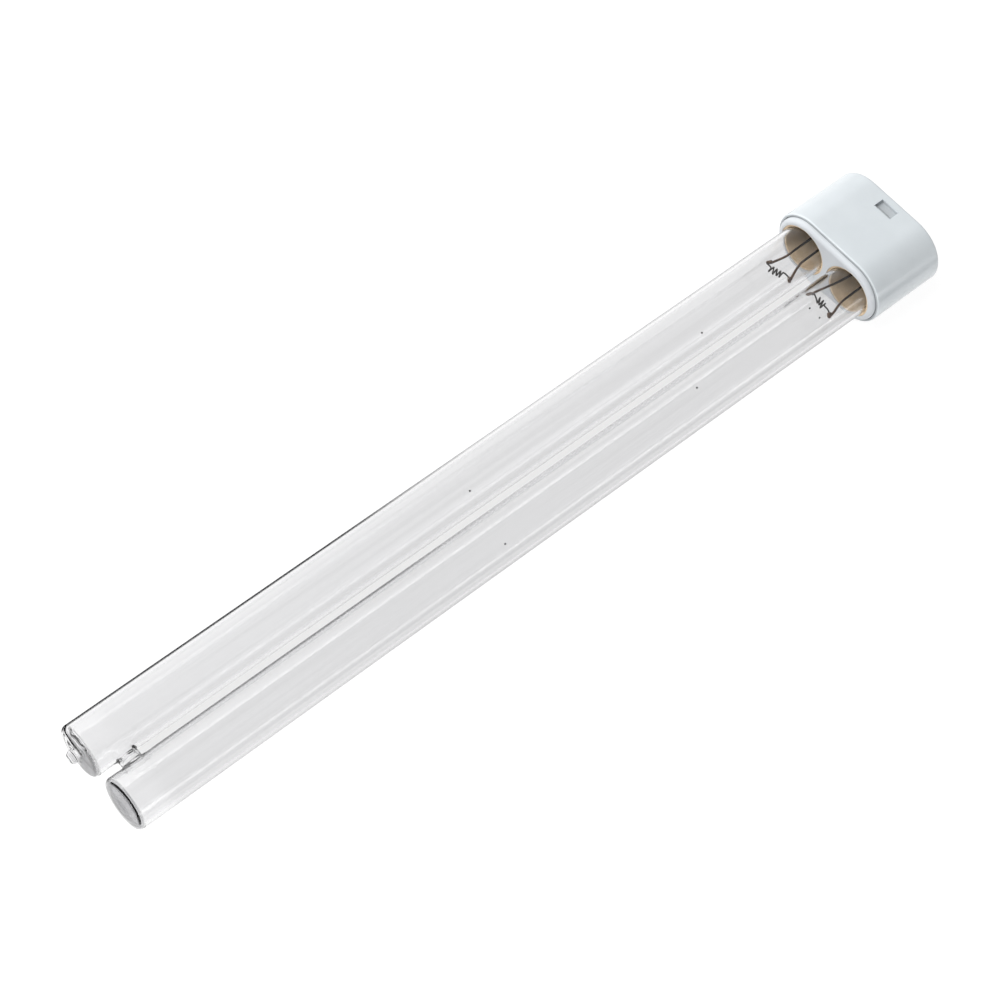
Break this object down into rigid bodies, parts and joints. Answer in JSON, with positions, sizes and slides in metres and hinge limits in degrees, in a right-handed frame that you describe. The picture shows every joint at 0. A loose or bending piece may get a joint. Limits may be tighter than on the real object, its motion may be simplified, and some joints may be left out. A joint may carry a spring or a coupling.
{
  "type": "uvc germicidal lamp tube",
  "caption": "Compact twin-tube germicidal discharge lamp: clear glass tubes joined by a bridge near their closed ends, in an oblong plastic base with in-line contact pins and latch notches.",
  "frame": {"origin": "middle of the base's rear seating face, where the pins leave the housing", "axes": "+X along the lamp from the base to the closed ends of the tubes, +Y across the two tubes from tube a (the one with the sealed tip) to tube b, +Z out of the base's broad face"},
  "size_m": [0.3217, 0.0448, 0.0248],
  "materials": {
    "base_plastic": "smooth moulded, slightly glossy",
    "clear_glass": "clear drawn glass",
    "capping_cement": "baked tan capping cement, matt",
    "coated_coil": "tungsten wire with a chalky oxide coat",
    "lead_wire": "oxidised nickel-iron wire",
    "outer_lead": "copper-clad wire",
    "pin_metal": "nickel-plated",
    "mercury": "liquid metal beads"
  },
  "bodies": {
    "root": {"base_housing": "base_plastic", "front_collar": "base_plastic", "glass_envelope": "clear_glass", "capping_cement_a": "capping_cement", "capping_cement_b": "capping_cement", "stem_a": "clear_glass", "stem_b": "clear_glass", "cathode_coil_a": "coated_coil", "cathode_coil_b": "coated_coil", "lead_wire_a_inner": "lead_wire", "lead_wire_a_outer": "lead_wire", "lead_wire_b_inner": "lead_wire", "lead_wire_b_outer": "lead_wire", "outer_lead_a_inner": "outer_lead", "outer_lead_a_outer": "outer_lead", "outer_lead_b_inner": "outer_lead", "outer_lead_b_outer": "outer_lead", "contact_pin_a_inner": "pin_metal", "contact_pin_a_outer": "pin_metal", "contact_pin_b_inner": "pin_metal", "contact_pin_b_outer": "pin_metal", "mercury_beads": "mercury"}
  },
  "joints": []
}
